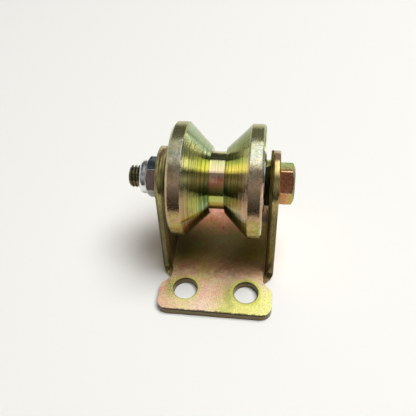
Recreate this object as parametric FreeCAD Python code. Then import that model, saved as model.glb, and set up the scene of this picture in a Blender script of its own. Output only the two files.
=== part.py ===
"""Sliding gate wheel: a V-groove wheel on two ball bearings, bolted between the ears of a folded bracket.

Millimetres, +Z up. X runs along the axle with the bolt head at +X, Y is the way the wheel rolls, and the
origin is the middle of the bracket's underside.
"""

import FreeCAD
import Part
import math
import os

# Axle: a hex bolt, a lock nut with a nylon ring, two plain washers and a tube between the inner rings
bolt_diameter = 9.9
bolt_head_height = 6.4
bolt_head_turn = 48.0
bolt_end_chamfer = 1.0
thread_stickout = 5.0
hex_wall = 3.05
hex_chamfer = 0.4
hex_chamfer_angle = 30.0
axle_clearance = 0.15
washer_band = 4.9
washer_thickness = 2.0
corner_break = 0.2
tube_wall = 1.9
nut_hex_height = 5.6
nut_turn = 34.0
collar_height = 3.2
collar_step = 0.5
collar_round = 1.8
collar_wall = 0.9
collar_lip = 0.7
lip_overhang = 0.8
thread_clearance = 0.05

# Ball bearings: two shielded deep-groove bearings, built outwards from the bolt and the balls
bore_clearance = 0.05
ball_diameter = 4.76
ball_count = 7
ball_clearance = 0.07
raceway_wall = 1.55
raceway_depth = 0.45
ring_corner = 0.3
cage_sheet = 0.4
cage_height = 1.4
cage_clearance = 0.12
cage_to_shield = 0.2
shield_sheet = 0.35
shield_depth = 0.55
shield_step = 0.5
shield_gap = 0.3

# Wheel: turned from bar, with a V-groove that ends in a narrow relief channel
wheel_diameter = 50.0
groove_angle = 90.0
rim_land = 5.85
relief_width = 6.3
relief_depth = 1.8
hub_wall = 3.7
core_clearance = 2.0
rim_chamfer = 1.0
groove_round = 0.3
seat_chamfer = 0.5
bearing_proud = 0.5

# Bracket: one folded sheet, two ears up from a base plate with a bolt lobe at each end
sheet = 4.0
bend_inside_radius = 0.5
plate_edge_roll = 0.4
ear_edge_roll = 0.2
wheel_clearance = 16.0
ear_tip_radius = 14.0
ear_flare = 5.6
axle_hole_clearance = 0.3
hole_diameter = 11.0
hole_spacing_y = 61.0
hole_end_margin = 6.0
hole_side_margin = 6.5
notch_radius = 3.0
notch_length = 4.8
shoulder_radius = 3.0
corner_radius = 5.0

# Sizes of the axle and bearings that follow from the ones above
bolt_radius = bolt_diameter / 2
hex_flats = bolt_diameter + 2 * hex_wall
axle_sleeve_radius = bolt_radius + axle_clearance
washer_radius = axle_sleeve_radius + washer_band
tube_radius = axle_sleeve_radius + tube_wall
collar_radius = hex_flats / 2 - collar_step
thread_radius = bolt_radius + thread_clearance
ball_radius = ball_diameter / 2
raceway_radius = ball_radius + ball_clearance
bearing_bore_radius = bolt_radius + bore_clearance
pitch_radius = bearing_bore_radius + raceway_wall + raceway_radius
bearing_radius = pitch_radius + raceway_radius + raceway_wall
inner_shoulder = pitch_radius - raceway_radius + raceway_depth
outer_shoulder = pitch_radius + raceway_radius - raceway_depth
pocket_radius = ball_radius + cage_clearance
shield_seat_depth = shield_depth + shield_sheet
bearing_width = 2 * (pocket_radius + cage_sheet + cage_to_shield + shield_seat_depth)

# Sizes of the wheel and bracket that follow from the ones above
core_radius = tube_radius + core_clearance
relief_floor_radius = core_radius + hub_wall
cone_foot_radius = relief_floor_radius + relief_depth
wheel_radius = wheel_diameter / 2
cone_run = (wheel_radius - cone_foot_radius) * math.tan(math.radians(groove_angle / 2))
wheel_half = relief_width / 2 + cone_run + rim_land
bearing_face = wheel_half + bearing_proud
bearing_back = bearing_face - bearing_width
axle_height = sheet + wheel_clearance + wheel_radius
ear_inside = bearing_face + washer_thickness
ear_outside = ear_inside + sheet
ear_top = axle_height + ear_tip_radius
ear_foot = ear_tip_radius + ear_flare
bend_outside_radius = bend_inside_radius + sheet
bend_start = ear_outside - bend_outside_radius
notch_end = ear_foot + notch_length
hole_x = ear_outside - hole_side_margin - hole_diameter / 2
hole_y = hole_spacing_y / 2
base_half = hole_y + hole_diameter / 2 + hole_end_margin
nut_hex_end = -ear_outside - nut_hex_height
nut_end = nut_hex_end - collar_height
bolt_end = nut_end - thread_stickout

V = FreeCAD.Vector
AXLE = V(0, 0, axle_height)
ALONG_AXLE = V(1, 0, 0)
SIDES = {"left": -1, "right": 1}
TOUCHING = 0.01


def rounded_face(corners, place):
    """Flat face through (u, v, radius) corners, each rounded by its radius and set in space by place."""
    points = [V(u, v, 0) for u, v, _ in corners]
    arcs = []
    for index, (_, _, radius) in enumerate(corners):
        corner = points[index]
        back = (points[index - 1] - corner).normalize()
        ahead = (points[(index + 1) % len(points)] - corner).normalize()
        half_angle = back.getAngle(ahead) / 2
        reach = radius / math.tan(half_angle)
        middle = (back + ahead).normalize() * (radius / math.sin(half_angle) - radius)
        arcs.append((corner + back * reach, corner + middle, corner + ahead * reach, radius))
    edges = []
    for index, (start, middle, end, radius) in enumerate(arcs):
        last_end = arcs[index - 1][2]
        edges.append(Part.LineSegment(place(last_end), place(start)).toShape())
        if radius > 0:
            edges.append(Part.Arc(place(start), place(middle), place(end)).toShape())
    return Part.Face(Part.Wire(edges))


def turned(outline):
    """Solid turned about the axle, from a closed outline of (x, radius) or (x, radius, round) corners."""
    corners = [(*corner, 0)[:3] for corner in outline]
    return rounded_face(corners, lambda p: AXLE + V(p.x, 0, p.y)).revolve(AXLE, ALONG_AXLE, 360)


def disc(x_low, x_high, radius):
    """Plain cylinder on the axle."""
    return Part.makeCylinder(radius, x_high - x_low, AXLE + V(x_low, 0, 0), ALONG_AXLE)


def tube(x_low, x_high, inside, outside):
    """Plain tube on the axle, given its two radii."""
    return disc(x_low, x_high, outside).cut(disc(x_low, x_high, inside))


def ring(x_low, x_high, inside, outside, corner):
    """Turned ring on the axle, given its two radii, with its outer corners broken."""
    return turned(
        [
            (x_low, inside),
            (x_low, outside - corner),
            (x_low + corner, outside),
            (x_high - corner, outside),
            (x_high, outside - corner),
            (x_high, inside),
        ]
    )


def wheel():
    """Grooved wheel with a bearing seat in each side and a shoulder between them."""
    relief_edge = relief_width / 2
    half = [
        (relief_edge, relief_floor_radius),
        (relief_edge, cone_foot_radius, groove_round),
        (relief_edge + cone_run, wheel_radius, groove_round),
        (wheel_half - rim_chamfer, wheel_radius),
        (wheel_half, wheel_radius - rim_chamfer),
        (wheel_half, bearing_radius + seat_chamfer),
        (wheel_half - seat_chamfer, bearing_radius),
        (bearing_back, bearing_radius),
        (bearing_back, core_radius),
    ]
    return turned(half + [(-x, *rest) for x, *rest in reversed(half)])


def bearing_cage(low, high, ball_centres):
    """Pressed ribbon cage: two flat strips riveted between the balls and dished round each of them."""
    middle = (low + high) / 2
    half_height = cage_height / 2
    dishes = [Part.makeSphere(pocket_radius + cage_sheet, centre) for centre in ball_centres]
    pockets = [Part.makeSphere(pocket_radius, centre) for centre in ball_centres]
    band = tube(low, high, pitch_radius - half_height, pitch_radius + half_height)
    strips = disc(middle - cage_sheet, middle + cage_sheet, bearing_radius)
    return band.common(strips.multiFuse(dishes)).cut(pockets)


def bearing_shield(low):
    """Thin steel shield, held by the outer ring and clear of the inner one."""
    return tube(low, low + shield_sheet, inner_shoulder + shield_gap, outer_shoulder + shield_step)


def bearing(side):
    """Pieces of one shielded ball bearing, by name, on the side of the wheel given by its sign."""
    low, high = sorted((side * bearing_back, side * bearing_face))
    middle = AXLE + V((low + high) / 2, 0, 0)
    raceway = Part.makeTorus(pitch_radius, raceway_radius, middle, ALONG_AXLE)
    turns = [2 * math.pi * index / ball_count for index in range(ball_count)]
    ball_centres = [middle + V(0, math.cos(turn), math.sin(turn)) * pitch_radius for turn in turns]
    shield_radius = outer_shoulder + shield_step
    low_seat = disc(low, low + shield_seat_depth, shield_radius)
    high_seat = disc(high - shield_seat_depth, high, shield_radius)
    shields = [bearing_shield(low + shield_depth), bearing_shield(high - shield_seat_depth)]
    inboard_shield, outboard_shield = shields[::side]
    outer_ring = ring(low, high, outer_shoulder, bearing_radius, ring_corner)
    inner_ring = ring(low, high, bearing_bore_radius, inner_shoulder, ring_corner / 2)
    return {
        "outer_ring": outer_ring.cut([raceway, low_seat, high_seat]),
        "inner_ring": inner_ring.cut(raceway),
        "balls": Part.makeCompound([Part.makeSphere(ball_radius, centre) for centre in ball_centres]),
        "cage": bearing_cage(low, high, ball_centres),
        "inboard_shield": inboard_shield,
        "outboard_shield": outboard_shield,
    }


def hexagon(x_low, x_high, turn):
    """Hexagonal bar on the axle. turn is how far one flat faces up from straight ahead, in degrees."""
    corner = hex_flats / 2 / math.cos(math.pi / 6)
    angles = [math.radians(turn + 30 + 60 * index) for index in range(6)]
    points = [AXLE + V(x_low, -corner * math.cos(a), corner * math.sin(a)) for a in angles]
    return Part.Face(Part.makePolygon(points + points[:1])).extrude(ALONG_AXLE * (x_high - x_low))


def hexagon_blank(x_plain, x_chamfered):
    """Turned blank that rounds off the corners at one end of a hexagonal bar."""
    corner = hex_flats / 2 / math.cos(math.pi / 6) + hex_chamfer
    end_radius = hex_flats / 2 - hex_chamfer
    drop = (corner - end_radius) * math.tan(math.radians(hex_chamfer_angle))
    x_drop = x_chamfered + math.copysign(drop, x_plain - x_chamfered)
    plain_end = [(x_plain, 0), (x_plain, corner)]
    return turned(plain_end + [(x_drop, corner), (x_chamfered, end_radius), (x_chamfered, 0)])


def axle_bolt():
    """Hex bolt, head on the right ear and end beyond the nut. The thread is plain at its outside diameter."""
    head_end = ear_outside + bolt_head_height
    head = hexagon(ear_outside, head_end, bolt_head_turn).common(hexagon_blank(ear_outside, head_end))
    shank = turned(
        [
            (ear_outside, 0),
            (ear_outside, bolt_radius),
            (bolt_end + bolt_end_chamfer, bolt_radius),
            (bolt_end, bolt_radius - bolt_end_chamfer),
            (bolt_end, 0),
        ]
    )
    return head.fuse(shank).removeSplitter()


def lock_nut():
    """Hex lock nut on the left ear, with the rounded collar that holds its nylon ring."""
    seat = -ear_outside
    body = hexagon(nut_hex_end, seat, nut_turn)
    body = body.common(hexagon_blank(seat, nut_hex_end)).common(hexagon_blank(nut_hex_end, seat))
    collar = turned([(seat, 0), (seat, collar_radius), (nut_end, collar_radius, collar_round), (nut_end, 0)])
    pocket_top = nut_end + collar_lip
    pocket = disc(pocket_top, nut_hex_end, collar_radius - collar_wall)
    mouth = disc(nut_end, pocket_top, collar_radius - collar_wall - lip_overhang)
    bore = disc(nut_end, seat, thread_radius)
    return body.fuse(collar).cut([pocket, mouth, bore]).removeSplitter()


def lock_nut_insert():
    """Nylon ring in the nut's collar, gripping the thread."""
    return tube(nut_end + collar_lip, nut_hex_end, thread_radius, collar_radius - collar_wall)


def spacer_washer(side):
    """Plain washer between an ear and the bearing's inner ring."""
    low, high = sorted((side * bearing_face, side * ear_inside))
    return ring(low, high, axle_sleeve_radius, washer_radius, corner_break)


def bearing_spacer_tube():
    """Tube between the two inner rings, so that the nut clamps rings, tube and washers and not the wheel."""
    return ring(-bearing_back, bearing_back, axle_sleeve_radius, tube_radius, corner_break)


def trough(half_width, floor, radius):
    """Upright prism as long as the ears' feet, with a flat floor and rounded lower corners."""
    top = ear_top + sheet
    right = [(half_width, floor, radius), (half_width, top, 0)]
    left = [(-half_width, top, 0), (-half_width, floor, radius)]
    return rounded_face(right + left, lambda p: V(p.x, -ear_foot, p.y)).extrude(V(0, 2 * ear_foot, 0))


def side_outline():
    """Side view of an ear, which narrows from its foot to a round tip about the axle."""
    lean = math.acos(ear_tip_radius / math.hypot(ear_foot, axle_height)) - math.atan2(axle_height, ear_foot)
    apex = axle_height + ear_tip_radius / math.sin(lean)
    corners = [(ear_foot, 0, 0), (0, apex, ear_tip_radius), (-ear_foot, 0, 0)]
    return rounded_face(corners, lambda p: V(-ear_outside, p.x, p.y))


def plan_outline():
    """Plan of the flat plate: a strip between the bends that widens, past a notch beside each ear, to two lobes."""
    shoulder = notch_end + ear_outside - bend_start
    quarter = [
        (bend_start, notch_end, notch_radius),
        (ear_outside, shoulder, shoulder_radius),
        (ear_outside, base_half, corner_radius),
    ]
    back = quarter + [(-x, y, radius) for x, y, radius in reversed(quarter)]
    front = [(-x, -y, radius) for x, y, radius in back]
    return rounded_face(back + front, lambda p: V(p.x, p.y, 0))


def skin_rim(body, cavity):
    """Edges round the sheet's inner skin, the side that the punch entered, holes included."""
    skin = []
    for face in body.Faces:
        u_low, u_high, v_low, v_high = face.ParameterRange
        middle = Part.Vertex(face.valueAt((u_low + u_high) / 2, (v_low + v_high) / 2))
        if cavity.distToShape(middle)[0] < TOUCHING:
            skin.append(face)
    edges = [edge for face in skin for edge in face.Edges]
    return [edge for edge in edges if sum(edge.isSame(other) for other in edges) == 1]


def bracket():
    """Folded bracket with the axle hole through both ears, four mounting holes and rolled punched edges."""
    cavity = trough(ear_inside, sheet, bend_inside_radius)
    folded = trough(ear_outside, 0, bend_outside_radius).cut(cavity)
    ears = folded.common(side_outline().extrude(V(2 * ear_outside, 0, 0)))
    body = ears.fuse(plan_outline().extrude(V(0, 0, sheet)))
    holes = [disc(-ear_outside, ear_outside, bolt_radius + axle_hole_clearance)]
    for x in (-hole_x, hole_x):
        for y in (-hole_y, hole_y):
            holes.append(Part.makeCylinder(hole_diameter / 2, sheet, V(x, y, 0)))
    body = body.cut(holes).removeSplitter()
    plate_rim = [edge for edge in skin_rim(body, cavity) if edge.BoundBox.ZMax < sheet + TOUCHING]
    body = body.makeFillet(plate_edge_roll, plate_rim)
    ear_rim = [edge for edge in skin_rim(body, cavity) if edge.BoundBox.ZMax > sheet + TOUCHING]
    return body.makeFillet(ear_edge_roll, ear_rim)


def pieces():
    """Every separate piece of the gate wheel, by name."""
    made = {
        "bracket": bracket(),
        "axle_bolt": axle_bolt(),
        "lock_nut": lock_nut(),
        "lock_nut_insert": lock_nut_insert(),
        "bearing_spacer_tube": bearing_spacer_tube(),
        "wheel": wheel(),
    }
    for side_name, side in SIDES.items():
        made[f"{side_name}_spacer_washer"] = spacer_washer(side)
        for piece_name, shape in bearing(side).items():
            made[f"{side_name}_bearing_{piece_name}"] = shape
    return made


os.makedirs("parts", exist_ok=True)
for name, shape in pieces().items():
    shape.exportStep(f"parts/{name}.step")
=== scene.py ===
import bpy
import math
from mathutils import Matrix, Vector


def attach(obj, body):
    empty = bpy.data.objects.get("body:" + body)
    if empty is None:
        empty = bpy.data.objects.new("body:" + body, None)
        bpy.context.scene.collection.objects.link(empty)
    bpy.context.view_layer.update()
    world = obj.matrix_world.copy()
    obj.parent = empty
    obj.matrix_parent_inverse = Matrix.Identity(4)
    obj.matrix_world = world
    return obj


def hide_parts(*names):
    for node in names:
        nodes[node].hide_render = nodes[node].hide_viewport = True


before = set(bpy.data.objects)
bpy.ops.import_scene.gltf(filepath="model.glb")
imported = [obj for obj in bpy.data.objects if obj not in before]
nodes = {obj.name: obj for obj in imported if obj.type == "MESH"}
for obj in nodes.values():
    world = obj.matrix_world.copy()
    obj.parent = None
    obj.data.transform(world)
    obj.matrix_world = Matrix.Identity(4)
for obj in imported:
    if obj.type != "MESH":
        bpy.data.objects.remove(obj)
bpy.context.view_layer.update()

# Bracket: one folded 4 mm steel sheet, a base plate with a bolt lobe at each end and an ear up each side.
# It is punched and bent first, then zinc plated and dipped in yellow chromate, which dries in clouds of
# pink, yellow and green. Sheared edges have a bright band by the punched skin and a rough one beyond it.


def extent(node):
    """Lowest and highest corner of a node's box, in metres."""
    points = [node.matrix_world @ vertex.co for vertex in node.data.vertices]
    return [Vector([pick(point[axis] for point in points) for axis in range(3)]) for pick in (min, max)]


def seen(red, green, blue):
    """Colour as the eye sees it, 0 to 255, turned into the linear colour that a shader takes."""
    parts = [level / 255 for level in (red, green, blue)]
    return (*[((part + 0.055) / 1.055) ** 2.4 if part > 0.04045 else part / 12.92 for part in parts], 1.0)


def new_finish(name, metallic=1.0):
    """Empty finish with its node tree and shader."""
    finish = bpy.data.materials.new(name)
    finish.use_nodes = True
    shader = finish.node_tree.nodes["Principled BSDF"]
    shader.inputs["Metallic"].default_value = metallic
    return finish, finish.node_tree, shader


def put(tree, kind, inputs=None, **settings):
    """Adds a shader node with its settings, and sets or joins its inputs."""
    made = tree.nodes.new("ShaderNode" + kind)
    for name, value in settings.items():
        setattr(made, name, value)
    for name, value in (inputs or {}).items():
        if isinstance(value, bpy.types.NodeSocket):
            tree.links.new(value, made.inputs[name])
        else:
            made.inputs[name].default_value = value
    return made


def calc(tree, operation, first, second=0.0):
    """One sum on two values."""
    return put(tree, "Math", {0: first, 1: second}, operation=operation).outputs[0]


def all_of(tree, *shares):
    """Product of shares, full only where each of them is."""
    product = shares[0]
    for share in shares[1:]:
        product = calc(tree, "MULTIPLY", product, share)
    return product


def weighed(tree, *pairs):
    """Sum of values, each times its weight."""
    total = calc(tree, "MULTIPLY", *pairs[0])
    for value, weight in pairs[1:]:
        total = calc(tree, "ADD", total, calc(tree, "MULTIPLY", value, weight))
    return total


def fade(tree, value, low, high, at_low=0.0, at_high=1.0):
    """Smooth change from one level to another while a value goes from low to high."""
    span = {"Value": value, 1: low, 2: high, 3: at_low, 4: at_high}
    return put(tree, "MapRange", span, interpolation_type="SMOOTHSTEP").outputs[0]


def hump(tree, value, rise_from, rise_to, fall_from, fall_to):
    """Share that rises and falls again along a value."""
    rise = fade(tree, value, rise_from, rise_to)
    return all_of(tree, rise, fade(tree, value, fall_from, fall_to, 1.0, 0.0))


def clouds(tree, place, scale, detail=3.0, roughness=0.55):
    """Soft random clouds, scale counted per metre."""
    wants = {"Vector": place, "Scale": scale, "Detail": detail, "Roughness": roughness}
    return put(tree, "TexNoise", wants).outputs["Fac"]


def between(tree, share, first, second):
    """Two levels mixed by a share."""
    return put(tree, "Mix", {0: share, 2: first, 3: second}, data_type="FLOAT").outputs[0]


def blended(tree, share, first, second, how="MIX"):
    """Two colours mixed by a share."""
    return put(tree, "Mix", {0: share, 6: first, 7: second}, data_type="RGBA", blend_type=how).outputs[2]


def banded(tree, value, stops):
    """Colours laid along a value, from (position, colour) stops."""
    made = put(tree, "ValToRGB", {"Fac": value})
    band = made.color_ramp
    while len(band.elements) < len(stops):
        band.elements.new(0.5)
    while len(band.elements) > len(stops):
        band.elements.remove(band.elements[-1])
    for element, (position, colour) in zip(band.elements, stops):
        element.position = position
        element.color = colour
    return made.outputs["Color"]


def raised(tree, shader, height, strength, distance, under=None):
    """Bump on a shader from a height, over the shape that another one gives."""
    bump = put(tree, "Bump", {"Height": height, "Strength": strength, "Distance": distance})
    if under is not None:
        tree.links.new(under, bump.inputs["Normal"])
    tree.links.new(bump.outputs["Normal"], shader.inputs["Normal"])


def dress(names, finish):
    """Gives CAD pieces a finish."""
    for name in names:
        nodes[name].data.materials.clear()
        nodes[name].data.materials.append(finish)


bracket_low, bracket_high = extent(nodes["bracket"])
sheet = 0.004
edge_crown = 0.0007
ear_inside = bracket_high.x - sheet
ear_foot = 0.0196
ear_foot_lean = 0.0007
bend_inside = 0.0005
bend_start = ear_inside - bend_inside
run_out = 0.0035
slack = 0.0001
hole_x = 0.014
hole_y = 0.0305

# The skin has clouds of colour, which change over the lobes and round the holes. Along the front it is
# painted paler: painted light, where the wheel shades the plate least.
bracket_finish, tree, shader = new_finish("yellow_zinc_sheet")
spot = put(tree, "TexCoord")
place = spot.outputs["Object"]
x, y, z = put(tree, "SeparateXYZ", {0: place}).outputs
facing_x, facing_y, facing_z = put(tree, "SeparateXYZ", {0: spot.outputs["Normal"]}).outputs
far_x = calc(tree, "ABSOLUTE", x)
far_y = calc(tree, "ABSOLUTE", y)
patch = clouds(tree, place, 48)
mottle = clouds(tree, place, 330, 4, 0.6)
grain = clouds(tree, place, 2400, 3, 0.6)
tint = weighed(tree, (patch, 0.55), (mottle, 0.3), (grain, 0.15))
chromate = banded(
    tree,
    tint,
    [
        (0.36, seen(206, 206, 120)),
        (0.44, seen(244, 222, 146)),
        (0.50, seen(255, 218, 180)),
        (0.57, seen(255, 220, 196)),
        (0.68, seen(250, 186, 168)),
    ],
)
to_hole_x = calc(tree, "SUBTRACT", far_x, hole_x)
to_hole_y = calc(tree, "SUBTRACT", far_y, hole_y)
hole_gap = put(tree, "CombineXYZ", {0: to_hole_x, 1: to_hole_y})
from_hole = put(tree, "VectorMath", {0: hole_gap.outputs[0]}, operation="LENGTH").outputs["Value"]
lobe = fade(tree, weighed(tree, (y, 1.0), (mottle, 0.01)), -0.026, -0.016, 0.9, 0.0)
plate_width = bracket_high.x - bracket_low.x
over_plate = calc(tree, "ADD", calc(tree, "MULTIPLY", x, 1 / plate_width), 0.38)
over_plate = weighed(tree, (over_plate, 0.92), (mottle, 0.20), (patch, 0.12))
lobe_colour = banded(
    tree,
    over_plate,
    [
        (0.04, seen(236, 154, 144)),
        (0.12, seen(216, 192, 134)),
        (0.22, seen(250, 206, 164)),
        (0.36, seen(255, 212, 188)),
        (0.50, seen(255, 214, 186)),
        (0.57, seen(234, 204, 146)),
        (0.63, seen(186, 190, 92)),
        (0.70, seen(250, 244, 136)),
        (0.95, seen(255, 255, 158)),
    ],
)
chromate = blended(tree, lobe, chromate, lobe_colour)
near_hole = weighed(tree, (from_hole, 1.0), (calc(tree, "SUBTRACT", mottle, 0.5), 0.003))
chromate = blended(tree, fade(tree, near_hole, 0.0062, 0.0080, 0.85, 0.0), chromate, seen(224, 226, 104))
chromate = blended(tree, fade(tree, from_hole, 0.0057, 0.0061, 0.85, 0.0), chromate, seen(104, 82, 44))
pinkish = fade(tree, over_plate, 0.52, 0.62, 1.0, 0.15)
crystals = weighed(tree, (clouds(tree, place, 900, 2, 0.65), 0.5), (clouds(tree, place, 210, 3, 0.6), 0.5))
pink_grains = all_of(tree, fade(tree, crystals, 0.50, 0.60, 0.0, 0.42), pinkish)
chromate = blended(tree, pink_grains, chromate, seen(248, 156, 136))
yellow_grains = all_of(tree, fade(tree, crystals, 0.40, 0.49, 0.42, 0.0), pinkish)
chromate = blended(tree, yellow_grains, chromate, seen(246, 230, 166))
# Painted light: the front strip of the plate is painted paler, as it is lit most.
front = fade(tree, y, -0.040, -0.032, 0.55, 0.0)
front = all_of(tree, front, fade(tree, over_plate, 0.6, 0.7, 1.0, 0.2))
lit_front_colour = banded(
    tree,
    over_plate,
    [
        (0.12, seen(248, 206, 176)),
        (0.24, seen(250, 246, 176)),
        (0.42, seen(255, 232, 210)),
        (0.60, seen(240, 244, 136)),
    ],
)
chromate = blended(tree, front, chromate, lit_front_colour)
dull = fade(tree, clouds(tree, place, 1900, 2, 0.7), 0.34, 0.66, 1.06, 0.80)
chromate = blended(tree, 1.0, chromate, dull, "MULTIPLY")
dots = clouds(tree, place, 1300, 2, 0.6)
chromate = blended(tree, fade(tree, dots, 0.60, 0.70, 0.0, 0.4), chromate, seen(150, 108, 70))
left_end = hump(tree, x, -0.0245, -0.0215, -0.0185, -0.0155)
left_end = all_of(tree, left_end, fade(tree, y, -0.037, -0.032))
olive_dots = all_of(tree, left_end, lobe, fade(tree, dots, 0.44, 0.56, 0.15, 0.95))
chromate = blended(tree, olive_dots, chromate, seen(142, 146, 62))
tooth = clouds(tree, place, 900, 3, 0.6)
from_lobe_end = calc(tree, "SUBTRACT", bracket_high.y, far_y)
from_lobe_end = weighed(tree, (from_lobe_end, 1.0), (calc(tree, "SUBTRACT", tooth, 0.5), 0.0024))
chromate = blended(tree, fade(tree, from_lobe_end, 0.0003, 0.0008, 0.85, 0.0), chromate, seen(86, 66, 38))
fleck = (0.0002, 0.0068, sheet)
to_fleck = put(tree, "VectorMath", {0: place, 1: fleck}, operation="DISTANCE").outputs["Value"]
chromate = blended(tree, fade(tree, to_fleck, 0.0003, 0.0008, 0.8, 0.0), chromate, seen(52, 40, 30))

# Between the ears the plate is painted darker, a painted shade under the wheel, and lighter on its right,
# a painted light.
shade_half = 0.03
behind_wheel = all_of(tree, fade(tree, far_x, 0.013, 0.020), fade(tree, y, 0.0, 0.012))
shaken_y = weighed(tree, (y, 1.0), (calc(tree, "SUBTRACT", mottle, 0.5), 0.012), (behind_wheel, -0.008))
from_end = calc(tree, "MULTIPLY", calc(tree, "ADD", shaken_y, shade_half), 1 / (2 * shade_half))
# Painted shade: darker across the middle under the wheel, and lighter again towards both ends.
under_wheel_shade = banded(
    tree,
    from_end,
    [
        (0.08, seen(255, 255, 255)),
        (0.20, seen(192, 172, 152)),
        (0.34, seen(158, 160, 88)),
        (0.50, seen(158, 152, 84)),
        (0.60, seen(192, 164, 124)),
        (0.70, seen(236, 186, 160)),
        (0.82, (1.08, 0.80, 0.84, 1.0)),
        (0.95, seen(255, 255, 255)),
    ],
)
inside = calc(tree, "LESS_THAN", far_x, ear_inside + 3 * slack)
chromate = blended(tree, inside, chromate, under_wheel_shade, "MULTIPLY")
# Painted light: the inside is painted darker on the left and lighter on the right.
from_left = calc(tree, "ADD", calc(tree, "MULTIPLY", x, 1 / (2 * ear_inside)), 0.5)
between_ears = hump(tree, y, -0.016, -0.010, 0.022, 0.027)
side_light = banded(
    tree,
    from_left,
    [
        (0.05, (0.82, 0.82, 0.82, 1.0)),
        (0.50, (1.02, 1.02, 1.02, 1.0)),
        (0.95, (1.28, 1.42, 1.12, 1.0)),
    ],
)
side_light = blended(tree, between_ears, (1.0, 1.0, 1.0, 1.0), side_light)
chromate = blended(tree, inside, chromate, side_light, "MULTIPLY")
# Painted shade: the plate's rear corners beside the ears are painted dark.
corner_shade = all_of(
    tree,
    inside,
    fade(tree, far_x, 0.0155, 0.0185),
    fade(tree, y, 0.010, 0.014, 0.0, 0.88),
    fade(tree, y, 0.026, 0.030, 1.0, 0.0),
)
chromate = blended(tree, corner_shade, chromate, seen(62, 58, 36))
# Painted shade: the left ear's inside face is painted darker.
left_inside_shade = all_of(tree, calc(tree, "GREATER_THAN", facing_x, 0.7), calc(tree, "LESS_THAN", x, 0.0))
chromate = blended(tree, left_inside_shade, chromate, seen(176, 169, 160), "MULTIPLY")

# The sheared edges are smooth near the punched skin and torn beyond it, and rounded over along the ears.
on_base = calc(tree, "LESS_THAN", z, sheet + slack)
past_ear = calc(tree, "GREATER_THAN", far_y, ear_foot - ear_foot_lean)
beyond_ear = calc(tree, "GREATER_THAN", far_y, ear_foot + run_out + slack)
in_base = all_of(tree, on_base, beyond_ear)
bend_corner = calc(tree, "SUBTRACT", past_ear, beyond_ear)
bend_corner = all_of(tree, bend_corner, calc(tree, "GREATER_THAN", far_x, bend_start + slack / 5))
base_edge = all_of(tree, calc(tree, "LESS_THAN", calc(tree, "ABSOLUTE", facing_z), 0.6), in_base)
ear_edge = calc(tree, "LESS_THAN", calc(tree, "ABSOLUTE", facing_x), 0.6)
ear_edge = all_of(tree, ear_edge, calc(tree, "GREATER_THAN", z, sheet + 10 * slack))
bend_edge = calc(tree, "GREATER_THAN", calc(tree, "ABSOLUTE", facing_y), 0.7)
bend_edge = calc(tree, "MAXIMUM", bend_edge, bend_corner)
sheared = calc(tree, "MAXIMUM", calc(tree, "MAXIMUM", base_edge, ear_edge), bend_edge)
depth_in_base = calc(tree, "SUBTRACT", sheet, z)
depth_in_ear = calc(tree, "SUBTRACT", bracket_high.x, far_x)
depth = between(tree, in_base, depth_in_ear, depth_in_base)
crown_middle = fade(tree, x, -0.001, 0.001, 1.25, 0.75)
off_middle = calc(tree, "SUBTRACT", calc(tree, "MULTIPLY", depth, 2 / sheet), crown_middle)
off_middle = calc(tree, "ABSOLUTE", off_middle)
from_middle = calc(tree, "POWER", off_middle, 4.0)
along_edge = put(tree, "CombineXYZ", {0: calc(tree, "MULTIPLY", depth, 6.0), 1: y, 2: z}).outputs[0]
streak = clouds(tree, along_edge, 420, 4, 0.65)
depth = weighed(tree, (depth, 1.0), (calc(tree, "SUBTRACT", tooth, 0.5), 0.0016))
broken = fade(tree, depth, 0.0026, 0.0031)
tear = hump(tree, depth, 0.0022, 0.0026, 0.0027, 0.0031)
tear = all_of(tree, tear, fade(tree, in_base, 0.0, 1.0, 0.6, 0.0))
ear_skin = banded(
    tree,
    streak,
    [
        (0.3, seen(146, 124, 76)),
        (0.5, seen(190, 170, 110)),
        (0.7, seen(222, 208, 150)),
    ],
)
base_skin = blended(tree, streak, seen(104, 88, 60), seen(170, 152, 116))
burnished = blended(tree, in_base, ear_skin, base_skin)
fracture = blended(tree, tooth, seen(112, 94, 60), seen(174, 152, 104))
edge_colour = blended(tree, broken, burnished, fracture)
edge_colour = blended(tree, tear, edge_colour, seen(62, 48, 28))
under_skin = all_of(tree, in_base, fade(tree, depth, 0.0005, 0.0012, 0.9, 0.0))
edge_colour = blended(tree, under_skin, edge_colour, seen(58, 44, 26))
# Painted shade: the edges are painted darker lower down, the plate's edges most, and the bend corners less
# near the plate.
foot = fade(tree, weighed(tree, (z, 1.0), (patch, 0.01)), 0.038, 0.060, 0.85, 0.0)
foot_painted_shade = blended(tree, in_base, seen(118, 116, 112), seen(176, 172, 164))
corner_foot = all_of(tree, bend_corner, fade(tree, z, 0.0024, 0.0046, 1.0, 0.1))
foot_painted_shade = blended(tree, corner_foot, foot_painted_shade, seen(240, 234, 216))
edge_colour = blended(tree, foot, edge_colour, foot_painted_shade, "MULTIPLY")
# Painted highlight: the top of each ear's edge, towards its back, is painted lighter.
tip_start = bracket_high.z - 0.0020
tip_end = bracket_high.z - 0.0006
tip_highlight = fade(tree, z, tip_start, tip_end, 0.0, 0.85)
tip_highlight = all_of(tree, tip_highlight, fade(tree, y, -0.004, 0.001))
edge_colour = blended(tree, tip_highlight, edge_colour, seen(236, 202, 148))
side_tone = blended(tree, fade(tree, x, -0.001, 0.001), (0.93, 1.0, 0.99, 1.0), (0.96, 0.96, 0.97, 1.0))
edge_colour = blended(tree, 1.0, edge_colour, side_tone, "MULTIPLY")
tree.links.new(blended(tree, sheared, chromate, edge_colour), shader.inputs["Base Color"])
skin_roughness = fade(tree, mottle, 0.3, 0.7, 0.34, 0.46)
edge_roughness = fade(tree, broken, 0.0, 1.0, 0.24, 0.4)
tree.links.new(between(tree, sheared, skin_roughness, edge_roughness), shader.inputs["Roughness"])
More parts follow.
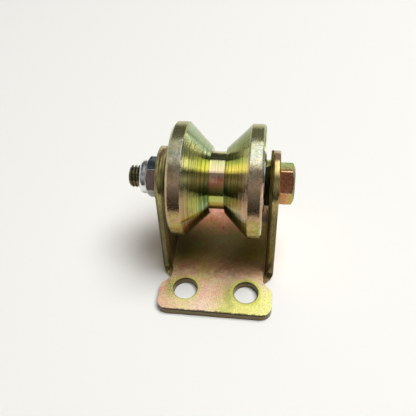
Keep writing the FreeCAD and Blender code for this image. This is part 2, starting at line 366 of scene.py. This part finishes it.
tree.links.new(fade(tree, sheared, 0.0, 1.0, 0.2, 1.0), shader.inputs["Metallic"])
skin_height = weighed(tree, (mottle, 1.0), (grain, 0.4))
edge_height = weighed(tree, (all_of(tree, tooth, broken), 5.0), (streak, 1.5))
crown_height = calc(tree, "MULTIPLY", all_of(tree, ear_edge, from_middle), -edge_crown)
crown = put(tree, "Bump", {"Height": crown_height, "Strength": 1.0, "Distance": 1.0}).outputs["Normal"]
raised(tree, shader, between(tree, sheared, skin_height, edge_height), 0.25, 0.00004, crown)
dress(["bracket"], bracket_finish)

# Bend corners: where an ear's edge runs down to the plate's edge, the sheet draws out across the bend.
# They belong to the same folded sheet, one at each end of each ear's foot, and carry its plating.

run_out_turn = math.radians(90)
run_out_root = 0.0015
run_out_curve = 1.5
run_out_steps = 24
weld_gap = 1e-6
edge_lean = math.tan(math.radians(6.96))
bend_axis = Vector((bend_start, 0, sheet + bend_inside))
bpy.ops.object.select_all(action="DESELECT")
bpy.ops.mesh.primitive_plane_add(size=1.0, rotation=(0, math.radians(90), 0))
corners = bpy.context.object
corners.name = "bend_corners"
bpy.ops.object.transform_apply(location=True, rotation=True, scale=True)
bpy.ops.object.mode_set(mode="EDIT")
bpy.ops.mesh.select_all(action="SELECT")
bpy.ops.transform.resize(value=(1, run_out, sheet), center_override=(0, 0, 0))
bpy.ops.transform.translate(value=(bend_axis.x, -ear_foot - run_out / 2, sheet / 2))
bpy.ops.mesh.spin(steps=run_out_steps, angle=run_out_turn, center=bend_axis, axis=(0, 1, 0))
bpy.ops.object.mode_set(mode="OBJECT")
for vertex in corners.data.vertices:
    round_bend = math.atan2(vertex.co.x - bend_axis.x, bend_axis.z - vertex.co.z) / run_out_turn
    ear_edge_y = edge_lean * vertex.co.z - ear_foot
    if vertex.co.y < -ear_foot - run_out / 2:
        vertex.co.y = ear_edge_y - run_out * max(1 - round_bend, 0) ** run_out_curve
    else:
        vertex.co.y = ear_edge_y + run_out_root
copies = corners.modifiers.new("copies", "MIRROR")
copies.use_axis = (True, True, False)
bpy.ops.object.modifier_apply(modifier=copies.name)
bpy.ops.object.mode_set(mode="EDIT")
bpy.ops.mesh.select_all(action="SELECT")
bpy.ops.mesh.remove_doubles(threshold=weld_gap)
bpy.ops.mesh.fill_holes(sides=0)
bpy.ops.mesh.normals_make_consistent(inside=False)
bpy.ops.object.mode_set(mode="OBJECT")
bpy.ops.object.shade_smooth_by_angle(angle=math.radians(30))
corners.data.materials.append(bracket_finish)
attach(corners, "bracket")

# Spacer washers: two plain washers between the ears and the bearings' inner rings, stamped from sheet.
# They carry the same yellow plating, a little greener. All but the top of the rim is painted near black, a
# painted shade in the gap by the ear.

washer_low, washer_high = extent(nodes["right_spacer_washer"])
lit_start = washer_high.z - 0.006
lit_end = washer_high.z - 0.004
washer_finish, tree, shader = new_finish("yellow_zinc_washer")
place = put(tree, "TexCoord").outputs["Object"]
patch = clouds(tree, place, 240, 3, 0.6)
greenish = banded(
    tree,
    patch,
    [
        (0.35, seen(196, 206, 110)),
        (0.55, seen(232, 226, 132)),
        (0.70, seen(226, 200, 130)),
    ],
)
x, y, z = put(tree, "SeparateXYZ", {0: place}).outputs
# Painted shade: the rim is near black below its top, with the ear's shadow edge slanting across it.
shadow_edge = weighed(tree, (y, 1.0), (calc(tree, "SUBTRACT", x, washer_low.x), -0.5), (patch, 0.002))
washer_shade = fade(tree, shadow_edge, 0.0, 0.0006, 0.97, 0.0)
low_shade = fade(tree, z, lit_start, lit_end, 0.97, 0.0)
washer_shade = calc(tree, "MAXIMUM", washer_shade, low_shade)
tree.links.new(blended(tree, washer_shade, greenish, seen(26, 21, 13)), shader.inputs["Base Color"])
tree.links.new(fade(tree, washer_shade, 0.0, 1.0, 0.3, 0.5), shader.inputs["Roughness"])
raised(tree, shader, clouds(tree, place, 1800, 2, 0.5), 0.2, 0.00003)
dress(["left_spacer_washer", "right_spacer_washer"], washer_finish)

# Wheel: one piece turned from steel bar, with a V-groove down to a narrow relief channel.
# The tool leaves fine lines all round, and the plating over them shows bands of olive, yellow and green,
# partly painted reflection.

wheel_low, wheel_high = extent(nodes["wheel"])
axle_height = (wheel_low.z + wheel_high.z) / 2
land_crown = 0.0006
rim_radius = (wheel_high.z - wheel_low.z) / 2 - land_crown
channel_radius = 0.0132


def tool_lines(tree, run, scale, roughness):
    """Random lines across the run of a turned surface, scale counted per metre."""
    wants = {"W": run, "Scale": scale, "Detail": 3, "Roughness": roughness}
    return put(tree, "TexNoise", wants, noise_dimensions="1D").outputs["Fac"]


wheel_finish, tree, shader = new_finish("yellow_zinc_turned")
spot = put(tree, "TexCoord")
place = spot.outputs["Object"]
axle_middle = (0, 0, axle_height)
from_axle = put(tree, "VectorMath", {0: place, 1: axle_middle}, operation="SUBTRACT").outputs[0]
x, y, z = put(tree, "SeparateXYZ", {0: from_axle}).outputs
across = put(tree, "CombineXYZ", {1: y, 2: z}).outputs[0]
radius = put(tree, "VectorMath", {0: across}, operation="LENGTH").outputs["Value"]
run = calc(tree, "ADD", calc(tree, "ABSOLUTE", x), radius)
fine_lines = tool_lines(tree, run, 5200, 0.6)
broad_lines = tool_lines(tree, run, 650, 0.75)
patch = clouds(tree, from_axle, 150, 4, 0.6)
speckle = clouds(tree, from_axle, 1400, 3, 0.6)

# Bands of colour run round the wheel, each its own on the lands, the groove's two sides and the channel:
# plating tone and painted reflection and shade.
turned = calc(tree, "ARCTAN2", calc(tree, "MULTIPLY", y, -1.0), z)
off_patch = calc(tree, "SUBTRACT", patch, 0.5)
turned = weighed(tree, (turned, 1 / math.tau), (off_patch, 0.16), (broad_lines, 0.05))
turned = calc(tree, "ADD", turned, 0.475)
land = banded(
    tree,
    turned,
    [
        (0.40, seen(188, 180, 116)),
        (0.48, seen(182, 181, 122)),
        (0.53, seen(192, 191, 158)),
        (0.555, seen(184, 190, 176)),
        (0.59, seen(218, 214, 186)),
        (0.63, seen(206, 174, 144)),
        (0.69, seen(186, 160, 130)),
        (0.75, seen(188, 152, 110)),
        (0.80, seen(176, 172, 104)),
        (0.90, seen(176, 160, 124)),
    ],
)
left_cone = banded(
    tree,
    turned,
    [
        (0.36, seen(170, 166, 132)),
        (0.44, seen(164, 186, 138)),
        (0.50, seen(172, 190, 138)),
        (0.56, seen(232, 228, 132)),
        (0.63, seen(192, 194, 134)),
        (0.69, seen(146, 160, 94)),
        (0.76, seen(136, 116, 80)),
        (0.84, seen(170, 150, 104)),
    ],
)
right_cone = banded(
    tree,
    turned,
    [
        (0.36, seen(134, 134, 94)),
        (0.44, seen(118, 134, 74)),
        (0.50, seen(145, 159, 88)),
        (0.56, seen(230, 224, 132)),
        (0.63, seen(246, 210, 192)),
        (0.70, seen(230, 188, 160)),
        (0.78, seen(184, 204, 146)),
        (0.86, seen(170, 150, 104)),
    ],
)
# Painted reflection: the channel's dark band just behind its top lies where it mirrors the dim room.
channel = banded(
    tree,
    turned,
    [
        (0.41, seen(206, 200, 128)),
        (0.44, seen(196, 190, 120)),
        (0.455, seen(110, 106, 80)),
        (0.50, seen(150, 150, 106)),
        (0.53, seen(197, 198, 139)),
        (0.60, seen(238, 204, 174)),
        (0.645, seen(196, 122, 92)),
        (0.70, seen(177, 185, 90)),
        (0.80, seen(186, 176, 110)),
    ],
)
on_right = calc(tree, "GREATER_THAN", x, 0.0)
cone = blended(tree, on_right, left_cone, right_cone)
up_cone = calc(tree, "SUBTRACT", radius, channel_radius)
up_cone = weighed(tree, (up_cone, 85.0), (broad_lines, 0.5), (patch, 0.6))
streaks = banded(
    tree,
    calc(tree, "SUBTRACT", up_cone, 0.55),
    [
        (0.10, seen(92, 140, 106)),
        (0.35, seen(112, 156, 84)),
        (0.55, seen(180, 176, 64)),
        (0.75, seen(152, 118, 72)),
        (0.95, seen(178, 118, 104)),
    ],
)
low_front = hump(tree, turned, 0.62, 0.68, 0.80, 0.90)
streaked = between(tree, on_right, 0.65, fade(tree, turned, 0.69, 0.75, 0.65, 0.2))
cone = blended(tree, all_of(tree, low_front, streaked), cone, streaks)
cone = blended(tree, calc(tree, "LESS_THAN", radius, channel_radius), cone, channel)
on_land = calc(tree, "GREATER_THAN", radius, rim_radius)
chromate = blended(tree, on_land, cone, land)

# The tool's lines show in the groove, and the plating on the lands is worn and blotchy.
stripe = weighed(tree, (broad_lines, 0.8), (fine_lines, 0.2))
on_cone = all_of(
    tree,
    calc(tree, "GREATER_THAN", radius, channel_radius),
    calc(tree, "LESS_THAN", radius, rim_radius),
    fade(tree, turned, 0.46, 0.53, 0.4, 1.0),
)
dark_line = all_of(tree, on_cone, fade(tree, stripe, 0.48, 0.62, 0.0, 0.55))
chromate = blended(tree, dark_line, chromate, seen(112, 106, 64))
light_line = all_of(tree, on_cone, fade(tree, stripe, 0.36, 0.50, 0.35, 0.0))
chromate = blended(tree, light_line, chromate, seen(226, 222, 160))
# Painted shade: the left land is painted dimmer just below its highlight.
left_land_shade = all_of(
    tree,
    on_land,
    calc(tree, "LESS_THAN", x, 0.0),
    fade(tree, turned, 0.53, 0.56, 0.0, 0.7),
    fade(tree, turned, 0.57, 0.61, 1.0, 0.15),
)
chromate = blended(tree, left_land_shade, chromate, seen(206, 204, 200), "MULTIPLY")
gilt = all_of(tree, on_land, fade(tree, clouds(tree, from_axle, 420, 3, 0.6), 0.50, 0.62, 0.0, 0.45))
chromate = blended(tree, gilt, chromate, seen(255, 244, 186), "MULTIPLY")
rosy = all_of(tree, on_land, fade(tree, clouds(tree, from_axle, 260, 3, 0.6), 0.52, 0.62, 0.0, 0.2))
chromate = blended(tree, rosy, chromate, seen(255, 222, 216), "MULTIPLY")
low_land = all_of(tree, on_land, fade(tree, turned, 0.70, 0.74))
blotch = all_of(tree, low_land, fade(tree, clouds(tree, from_axle, 480, 3, 0.6), 0.47, 0.56, 0.0, 0.65))
chromate = blended(tree, blotch, chromate, seen(166, 172, 84))
worn = fade(tree, clouds(tree, from_axle, 700, 3, 0.65), 0.36, 0.62, 1.04, 0.84)
chromate = blended(tree, on_land, chromate, worn, "MULTIPLY")
chromate = blended(tree, fade(tree, speckle, 0.62, 0.74, 0.0, 0.4), chromate, seen(104, 90, 60))
tree.links.new(chromate, shader.inputs["Base Color"])
line_roughness = fade(tree, fine_lines, 0.3, 0.7, 0.06, 0.12)
land_roughness = fade(tree, speckle, 0.3, 0.7, 0.16, 0.30)
tree.links.new(between(tree, on_land, line_roughness, land_roughness), shader.inputs["Roughness"])
turning_height = weighed(tree, (fine_lines, 1.2), (broad_lines, 2.2))
side_on = calc(tree, "ABSOLUTE", put(tree, "SeparateXYZ", {0: spot.outputs["Normal"]}).outputs[0])
turning_height = all_of(tree, turning_height, fade(tree, side_on, 0.8, 0.95, 1.0, 0.25))
land_height = weighed(tree, (speckle, 2.0), (clouds(tree, from_axle, 520, 2, 0.5), 4.0))
raised(tree, shader, between(tree, on_land, turning_height, land_height), 0.4, 0.00003)
dress(["wheel"], wheel_finish)

# Ball bearings: one in each side of the wheel, with ground rings and balls of bright bearing steel.
# The tube between their inner rings is turned from bright steel bar and looks the same.


def hazed(tree, shader, haze, dark, light, smooth, rough):
    """Gives a shader a colour and a roughness that follow a haze of clouds."""
    tree.links.new(banded(tree, haze, [(0.3, dark), (0.7, light)]), shader.inputs["Base Color"])
    tree.links.new(fade(tree, haze, 0.3, 0.7, smooth, rough), shader.inputs["Roughness"])


bearing_finish, tree, shader = new_finish("bearing_steel")
place = put(tree, "TexCoord").outputs["Object"]
haze = clouds(tree, place, 300, 3, 0.5)
hazed(tree, shader, haze, seen(168, 170, 172), seen(200, 202, 204), 0.12, 0.22)
raised(tree, shader, clouds(tree, place, 3000, 2, 0.5), 0.1, 0.00001)
bearing_sides = ["left", "right"]
ground_pieces = ["outer_ring", "inner_ring", "balls"]
ground = [f"{side}_bearing_{piece}" for side in bearing_sides for piece in ground_pieces]
dress([*ground, "bearing_spacer_tube"], bearing_finish)

# Bearing cages and shields: thin strip steel, pressed to shape and left with a dull rolled skin.
# The shields close both sides of each bearing, so the cages show only where a shield is taken off.

pressed_finish, tree, shader = new_finish("pressed_steel")
place = put(tree, "TexCoord").outputs["Object"]
haze = clouds(tree, place, 420, 4, 0.6)
hazed(tree, shader, haze, seen(128, 126, 120), seen(164, 162, 156), 0.32, 0.46)
raised(tree, shader, clouds(tree, place, 2200, 2, 0.5), 0.2, 0.00002)
pressed_pieces = ["cage", "inboard_shield", "outboard_shield"]
pressed = [f"{side}_bearing_{piece}" for side in bearing_sides for piece in pressed_pieces]
dress(pressed, pressed_finish)

# Axle bolt: a hex bolt through both ears, its head on the right and its thread ending beyond the nut.
# The head is forged and trimmed with a turned chamfer, the thread is rolled, and all is yellow plated.

bolt_low, bolt_high = extent(nodes["axle_bolt"])
head_seat = bracket_high.x
head_end = bolt_high.x
bolt_end = bolt_low.x
bolt_radius = 0.00495
thread_pitch = 0.0015
thread_depth = 0.00092
thread_start = -0.031
end_chamfer = 0.001
head_flats = 0.016
head_chamfer = 0.0008
head_corner = 0.0005
head_turn = math.radians(18)
head_overlap = 0.002
thread_turns = 10
turn_steps = 48
crest_room = 0.0002
neck_gap = 0.0002
shank_ease = 0.00001
lay_along_axle = (0, math.radians(90), 0)


def bar(name, x_low, x_high, bar_radius, sides, turn=0.0):
    """Straight bar on the axle, round or with flats, as a new object whose place is in its mesh."""
    bpy.ops.object.select_all(action="DESELECT")
    middle = ((x_low + x_high) / 2, 0, axle_height)
    bpy.ops.mesh.primitive_cylinder_add(
        vertices=sides, radius=bar_radius, depth=x_high - x_low, location=middle, rotation=lay_along_axle
    )
    made = bpy.context.object
    made.name = name
    bpy.ops.object.transform_apply(location=True, rotation=True, scale=True)
    bpy.ops.object.mode_set(mode="EDIT")
    bpy.ops.mesh.select_all(action="SELECT")
    bpy.ops.transform.rotate(value=turn, orient_axis="X", center_override=(0, 0, axle_height))
    bpy.ops.object.mode_set(mode="OBJECT")
    return made


def narrow_end(made, x_end, length, share):
    """Turned chamfer: draws one end of a bar out by a length and in to a share of its radius."""
    bpy.ops.object.mode_set(mode="EDIT")
    bpy.ops.mesh.select_all(action="DESELECT")
    bpy.ops.object.mode_set(mode="OBJECT")
    for polygon in made.data.polygons:
        polygon.select = abs(polygon.center.x - x_end) < weld_gap
    bpy.ops.object.mode_set(mode="EDIT")
    bpy.ops.mesh.select_mode(type="FACE")
    bpy.ops.mesh.extrude_region_move(TRANSFORM_OT_translate={"value": (length, 0, 0)})
    bpy.ops.transform.resize(value=(1, share, share), center_override=(x_end + length, 0, axle_height))
    bpy.ops.object.mode_set(mode="OBJECT")


def joined(made, tool, operation):
    """Cuts, keeps or adds the tool's solid, and takes the tool away."""
    bpy.ops.object.select_all(action="DESELECT")
    bpy.context.view_layer.objects.active = made
    made.select_set(True)
    step = made.modifiers.new("solid", "BOOLEAN")
    step.operation = operation
    step.solver = "EXACT"
    step.object = tool
    bpy.ops.object.modifier_apply(modifier=step.name)
    bpy.data.objects.remove(tool)


# The head is a hex bar with rounded corners, kept where it lies inside a turned blank.
corner_radius = head_flats / 2 / math.cos(math.radians(30))
blank_radius = corner_radius + head_chamfer
end_radius = head_flats / 2 - head_chamfer
drop = (blank_radius - end_radius) * math.tan(math.radians(30))
bolt = bar("axle_bolt_threaded", head_seat, head_end, corner_radius, 6, head_turn)
bpy.ops.object.mode_set(mode="EDIT")
bpy.ops.mesh.select_all(action="DESELECT")
bpy.ops.object.mode_set(mode="OBJECT")
for edge in bolt.data.edges:
    ends = [bolt.data.vertices[index].co for index in edge.vertices]
    edge.select = abs(ends[0].x - ends[1].x) > head_corner
bpy.ops.object.mode_set(mode="EDIT")
bpy.ops.mesh.select_mode(type="EDGE")
bpy.ops.mesh.bevel(offset=head_corner, segments=4)
bpy.ops.object.mode_set(mode="OBJECT")
blank = bar("head_blank", head_seat - sheet, head_end - drop, blank_radius, 128)
narrow_end(blank, head_end - drop, drop, end_radius / blank_radius)
joined(bolt, blank, "INTERSECT")

# The thread is one tooth run round a helix and cut to length. A hidden neck joins it to the shank.
bpy.ops.object.select_all(action="DESELECT")
bpy.ops.mesh.primitive_plane_add(size=thread_pitch, location=(bolt_end - 2 * thread_pitch, 0, axle_height))
thread = bpy.context.object
bpy.ops.object.mode_set(mode="EDIT")
bpy.ops.mesh.select_mode(type="VERT")
bpy.ops.mesh.select_all(action="SELECT")
bpy.ops.mesh.merge(type="CENTER")
bpy.ops.transform.translate(value=(0, 0, bolt_radius - thread_depth))
for step_along, step_out in ((0.25, 0), (0.3125, thread_depth), (0.125, 0), (0.3125, -thread_depth)):
    step = (step_along * thread_pitch, 0, step_out)
    bpy.ops.mesh.extrude_region_move(TRANSFORM_OT_translate={"value": step})
bpy.ops.object.mode_set(mode="OBJECT")
helix = thread.modifiers.new("helix", "SCREW")
helix.axis = "X"
helix.screw_offset = thread_pitch
helix.iterations = thread_turns
helix.steps = turn_steps
helix.render_steps = turn_steps
helix.use_merge_vertices = True
bpy.ops.object.modifier_apply(modifier=helix.name)
bpy.ops.object.transform_apply(location=True, rotation=True, scale=True)
bpy.ops.object.mode_set(mode="EDIT")
bpy.ops.mesh.select_all(action="SELECT")
bpy.ops.mesh.remove_doubles(threshold=weld_gap)
bpy.ops.mesh.fill_holes(sides=0)
bpy.ops.mesh.normals_make_consistent(inside=False)
bpy.ops.object.mode_set(mode="OBJECT")
thread_blank_radius = bolt_radius + crest_room
blank = bar("thread_blank", bolt_end + end_chamfer, thread_start, thread_blank_radius, 128)
end_share = (bolt_radius - end_chamfer) / thread_blank_radius
narrow_end(blank, bolt_end + end_chamfer, -end_chamfer, end_share)
joined(thread, blank, "INTERSECT")
neck_radius = bolt_radius - thread_depth - 2 * neck_gap
neck = bar("neck", thread_start - thread_pitch, thread_start + thread_pitch, neck_radius, 96)
shank = bar("shank", thread_start + neck_gap, head_seat + head_overlap, bolt_radius - shank_ease, 96)
joined(bolt, shank, "UNION")
joined(thread, neck, "UNION")
joined(bolt, thread, "UNION")
bpy.ops.object.mode_set(mode="EDIT")
bpy.ops.mesh.select_all(action="SELECT")
bpy.ops.mesh.remove_doubles(threshold=2 * weld_gap)
bpy.ops.mesh.dissolve_degenerate(threshold=2 * weld_gap)
bpy.ops.object.mode_set(mode="OBJECT")
bpy.ops.object.shade_smooth_by_angle(angle=math.radians(25))

# Each flat of the head gets its own colour, plating tone and painted reflection of what it faces, and the
# thread is grimy.
bolt_finish, tree, shader = new_finish("yellow_zinc_bolt")
spot = put(tree, "TexCoord")
place = spot.outputs["Object"]
x, y, _ = put(tree, "SeparateXYZ", {0: place}).outputs
facing_x, _, facing_up = put(tree, "SeparateXYZ", {0: spot.outputs["Normal"]}).outputs
patch = clouds(tree, place, 260, 3, 0.6)
mottle = clouds(tree, place, 1100, 3, 0.6)
along = calc(tree, "MULTIPLY", calc(tree, "SUBTRACT", x, head_seat), 1 / (head_end - head_seat))
cloud = calc(tree, "SUBTRACT", weighed(tree, (patch, 0.5), (mottle, 0.4)), 0.45)
back_along = calc(tree, "ADD", calc(tree, "MULTIPLY", y, 110.0), 0.25)
back_along = weighed(tree, (back_along, 1.0), (cloud, 1.0), (along, -0.15))
top_flat = banded(
    tree,
    back_along,
    [
        (0.1, seen(240, 190, 110)),
        (0.3, seen(255, 244, 146)),
        (0.8, seen(206, 236, 150)),
    ],
)
along = calc(tree, "ADD", along, cloud)
low_flat = banded(
    tree,
    along,
    [
        (0.3, seen(188, 138, 100)),
        (0.6, seen(190, 148, 90)),
        (0.9, seen(166, 166, 76)),
    ],
)
front_flat = banded(tree, mottle, [(0.35, seen(150, 94, 70)), (0.65, seen(180, 124, 90))])
chromate = blended(tree, fade(tree, facing_up, 0.3, 0.4), low_flat, front_flat)
chromate = blended(tree, fade(tree, facing_up, 0.82, 0.9), chromate, top_flat)
# Painted highlight: where the rounded corners face straight up they are painted pale.
chromate = blended(tree, fade(tree, facing_up, 0.965, 0.985, 0.0, 0.9), chromate, seen(232, 228, 212))
low_corner = all_of(tree, fade(tree, facing_up, -0.1, 0.1), fade(tree, facing_up, 0.55, 0.68, 0.7, 0.0))
chromate = blended(tree, low_corner, chromate, seen(226, 190, 150))
chromate = blended(tree, fade(tree, facing_x, 0.3, 0.5), chromate, seen(124, 124, 82))
end_face = banded(
    tree,
    patch,
    [
        (0.35, seen(184, 178, 106)),
        (0.52, seen(224, 204, 134)),
        (0.68, seen(216, 164, 124)),
    ],
)
chromate = blended(tree, fade(tree, facing_x, 0.94, 0.98), chromate, end_face)
grimy = fade(tree, x, thread_start - 2 * thread_pitch, thread_start, 0.85, 0.0)
chromate = blended(tree, grimy, chromate, seen(122, 120, 92))
tree.links.new(chromate, shader.inputs["Base Color"])
tree.links.new(fade(tree, mottle, 0.3, 0.7, 0.22, 0.36), shader.inputs["Roughness"])
raised(tree, shader, mottle, 0.3, 0.00004)
bolt.data.materials.clear()
bolt.data.materials.append(bolt_finish)
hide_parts("axle_bolt")
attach(bolt, "bracket")

# Lock nut: a hex nut on the left ear with a rounded collar, forged, tapped and clear zinc plated.
# The plating is blue-white and bright, with darker clouds and small pits where it was handled.

nut_low = extent(nodes["lock_nut"])[0]
nut_edge = 0.0006
collar_foot = nut_low.x + 0.0028
hex_start = nut_low.x + 0.0034


def rounded_edges(tree, radius):
    """Normals of a piece whose sharp edges are rounded by a radius."""
    return put(tree, "Bevel", {"Radius": radius}, samples=8).outputs[0]


nut_finish, tree, shader = new_finish("clear_zinc")
spot = put(tree, "TexCoord")
place = spot.outputs["Object"]
patch = clouds(tree, place, 260, 4, 0.65)
pits = clouds(tree, place, 1500, 3, 0.6)
tint = weighed(tree, (patch, 0.7), (pits, 0.3))
facing_up = put(tree, "SeparateXYZ", {0: spot.outputs["Normal"]}).outputs[2]
# Painted reflection: each flat is coloured by how it faces, the top dark blue, the front brownish, the low
# flats near white.
top_flat = banded(
    tree,
    tint,
    [
        (0.40, seen(90, 106, 114)),
        (0.50, seen(128, 144, 152)),
        (0.60, seen(210, 222, 228)),
    ],
)
front_flat = banded(tree, tint, [(0.38, seen(138, 114, 106)), (0.62, seen(172, 150, 140))])
low_flat = banded(tree, tint, [(0.38, seen(202, 206, 207)), (0.62, seen(228, 230, 229))])
zinc = blended(tree, fade(tree, facing_up, 0.1, 0.4), low_flat, front_flat)
zinc = blended(tree, fade(tree, facing_up, 0.75, 0.9), zinc, top_flat)
along = put(tree, "SeparateXYZ", {0: place}).outputs[0]
on_collar = fade(tree, along, collar_foot, hex_start, 0.85, 0.0)
zinc = blended(tree, on_collar, zinc, seen(232, 234, 232))
soft_facing = rounded_edges(tree, nut_edge)
true_facing = put(tree, "NewGeometry").outputs["True Normal"]
alike = put(tree, "VectorMath", {0: soft_facing, 1: true_facing}, operation="DOT_PRODUCT").outputs["Value"]
# The rounded edges are painted near white: worn edges and a painted highlight.
zinc = blended(tree, fade(tree, alike, 0.90, 0.98, 0.9, 0.0), zinc, seen(252, 252, 250))
tree.links.new(zinc, shader.inputs["Base Color"])
tree.links.new(fade(tree, pits, 0.3, 0.7, 0.12, 0.24), shader.inputs["Roughness"])
raised(tree, shader, pits, 0.3, 0.00004, soft_facing)
dress(["lock_nut"], nut_finish)

# Nylon ring: a plain moulded ring in the nut's collar that grips the thread.
# It is milky white, and its end shows round the thread at the collar's mouth.

nylon_finish, tree, shader = new_finish("nylon", 0.0)
place = put(tree, "TexCoord").outputs["Object"]
haze = clouds(tree, place, 500, 3, 0.5)
hazed(tree, shader, haze, seen(214, 212, 202), seen(230, 228, 220), 0.4, 0.55)
raised(tree, shader, haze, 0.1, 0.00003)
dress(["lock_nut_insert"], nylon_finish)

# Table top: a white sheet, far wider than the picture, that catches the object's shadow.
# It is plain matt paper with nothing on it.

bpy.ops.object.select_all(action="DESELECT")
bpy.ops.mesh.primitive_plane_add(size=8.0, location=(0, 0, 0))
table = bpy.context.object
table.name = "table_top"
table_finish, tree, shader = new_finish("white_table", 0.0)
shader.inputs["Base Color"].default_value = seen(243, 242, 237)
shader.inputs["Roughness"].default_value = 0.6
table.data.materials.append(table_finish)

# Room: what the bright plating mirrors, as glowing cards that only metal shows.
# A wide bright ceiling panel lies overhead, to the right and behind. The room is dim behind, and dim in
# front from the edge of the white sheet upwards.

panel_height = 2.8
panel_left, panel_right = -0.9, 1.5
panel_front, panel_back = -0.28, 2.2
panel_middle = (panel_front + panel_back) / 2
room_half = 2.5
ceiling_front = -1.6
wall_left = -2.0
wall_back = 1.6
white_edge = -0.131


def room_card(name, start, end, across, levels):
    """Glowing card from start to end and as wide as across, with levels at shares of the way along it."""
    bpy.ops.object.select_all(action="DESELECT")
    bpy.ops.mesh.primitive_plane_add(size=1.0)
    made = bpy.context.object
    made.name = name
    start, end, across = Vector(start), Vector(end), Vector(across)
    along = end - start
    turn = Matrix((across, along, across.cross(along).normalized())).transposed().to_4x4()
    made.matrix_world = Matrix.Translation((start + end) / 2) @ turn
    bpy.ops.object.transform_apply(location=True, rotation=True, scale=True)
    glow, tree, shader = new_finish(name + "_glow", 0.0)
    place = put(tree, "TexCoord").outputs["Object"]
    gone = put(tree, "VectorMath", {0: place, 1: tuple(start)}, operation="SUBTRACT").outputs[0]
    per_length = tuple(along / along.length_squared)
    share = put(tree, "VectorMath", {0: gone, 1: per_length}, operation="DOT_PRODUCT").outputs["Value"]
    level = banded(tree, share, [(stop, (value, value, value, 1.0)) for stop, value in levels])
    shader.inputs["Base Color"].default_value = (0, 0, 0, 1)
    shader.inputs["Roughness"].default_value = 1.0
    shader.inputs["Specular IOR Level"].default_value = 0.0
    tree.links.new(level, shader.inputs["Emission Color"])
    shader.inputs["Emission Strength"].default_value = 1.0
    made.data.materials.append(glow)
    made.visible_camera = False
    made.visible_diffuse = False
    made.visible_shadow = False


room_card(
    "room_panel",
    (panel_left, panel_middle, panel_height),
    (panel_right, panel_middle, panel_height),
    (0, panel_back - panel_front, 0),
    [(0.0, 0.35), (0.12, 0.5), (0.25, 1.4), (0.38, 2.0), (0.5, 2.3), (1.0, 2.3)],
)
room_card(
    "room_ceiling",
    (1.0, panel_front, panel_height),
    (1.0, ceiling_front, panel_height),
    (2.9, 0, 0),
    [(0, 1.8), (0.3, 1.1), (0.6, 0.4), (1, 0.25)],
)
room_card(
    "room_ceiling_left",
    (-1.5, panel_front, panel_height),
    (-1.5, ceiling_front, panel_height),
    (2.1, 0, 0),
    [(0, 0.5), (0.4, 0.3), (1, 0.2)],
)
room_card(
    "room_left",
    (wall_left, 0, 0),
    (wall_left, 0, 1.8),
    (0, 3.0, 0),
    [(0, 0.6), (0.4, 0.7), (1, 0.3)],
)
room_card(
    "room_front",
    (0, white_edge, 0),
    (0, white_edge, 0.42),
    (2 * room_half, 0, 0),
    [(0.0, 0.03), (0.06, 0.05), (0.16, 0.14), (0.34, 0.42), (0.54, 0.22), (1.0, 0.16)],
)
room_card(
    "room_back",
    (0, wall_back, 0),
    (0, wall_back, 1.7),
    (2 * room_half, 0, 0),
    [(0.0, 1.0), (0.05, 0.9), (0.09, 0.4), (0.2, 0.16), (1.0, 0.16)],
)
room_card(
    "room_back_right",
    (0.98, 0.9, 0),
    (0.98, 0.9, 0.57),
    (0.85, 0, 0),
    [(0, 0.7), (0.45, 0.75), (0.47, 4.0), (0.52, 4.0), (0.54, 0.3), (1, 0.3)],
)
room_card(
    "room_right",
    (2.45, 0.14, 0.75),
    (2.45, 1.58, 0.75),
    (0, 0, 0.5),
    [(0, 1.5), (0.44, 1.5), (0.47, 0.4), (1, 0.4)],
)
room_card("room_back_middle", (0.14, 1.58, 0.45), (0.14, 1.58, 1.3), (0.52, 0, 0), [(0, 0.24)])

# Light: the soft light on the table, from overhead and the right, in a dim room.
# It is as wide as a ceiling panel, so shadows are soft. The metal mirrors the room's cards instead of it.

key_height = 2.8
key_left, key_right = -0.1, 1.9
key_front, key_back = -0.5, 0.9
bpy.ops.object.select_all(action="DESELECT")
bpy.ops.object.light_add(
    type="AREA", location=((key_left + key_right) / 2, (key_front + key_back) / 2, key_height)
)
lamp = bpy.context.object
lamp.data.shape = "RECTANGLE"
lamp.data.size = key_right - key_left
lamp.data.size_y = key_back - key_front
lamp.data.energy = 101.0
lamp.visible_glossy = False
world = bpy.data.worlds.new("room")
world.use_nodes = True
world.node_tree.nodes["Background"].inputs["Color"].default_value = (1, 1, 1, 1)
world.node_tree.nodes["Background"].inputs["Strength"].default_value = 0.05
bpy.context.scene.world = world

# Camera: held by hand in front of the object and above it, a little to its right and tilted.
# It is close by, so that the near edge of the plate looks wider than the far one.

yaw = math.radians(9.8)
elevation = math.radians(47.77)
roll = math.radians(-4.02)
target = Vector((-0.00598, 0, 0.02624))
distance = 0.23254
level_back = Vector((math.sin(yaw), -math.cos(yaw), 0))
back = math.cos(elevation) * level_back + Vector((0, 0, math.sin(elevation)))
level_right = Vector((math.cos(yaw), math.sin(yaw), 0))
level_up = back.cross(level_right)
right = math.cos(roll) * level_right + math.sin(roll) * level_up
up = math.cos(roll) * level_up - math.sin(roll) * level_right
bpy.ops.object.select_all(action="DESELECT")
bpy.ops.object.camera_add()
camera = bpy.context.object
camera.data.lens = 42.95
camera.data.sensor_width = 36.0
camera.data.clip_start = 0.005
facing = Matrix((right, up, back)).transposed().to_4x4()
camera.matrix_world = Matrix.Translation(target + back * distance) @ facing
bpy.context.scene.camera = camera
bpy.context.scene.view_settings.view_transform = "Standard"
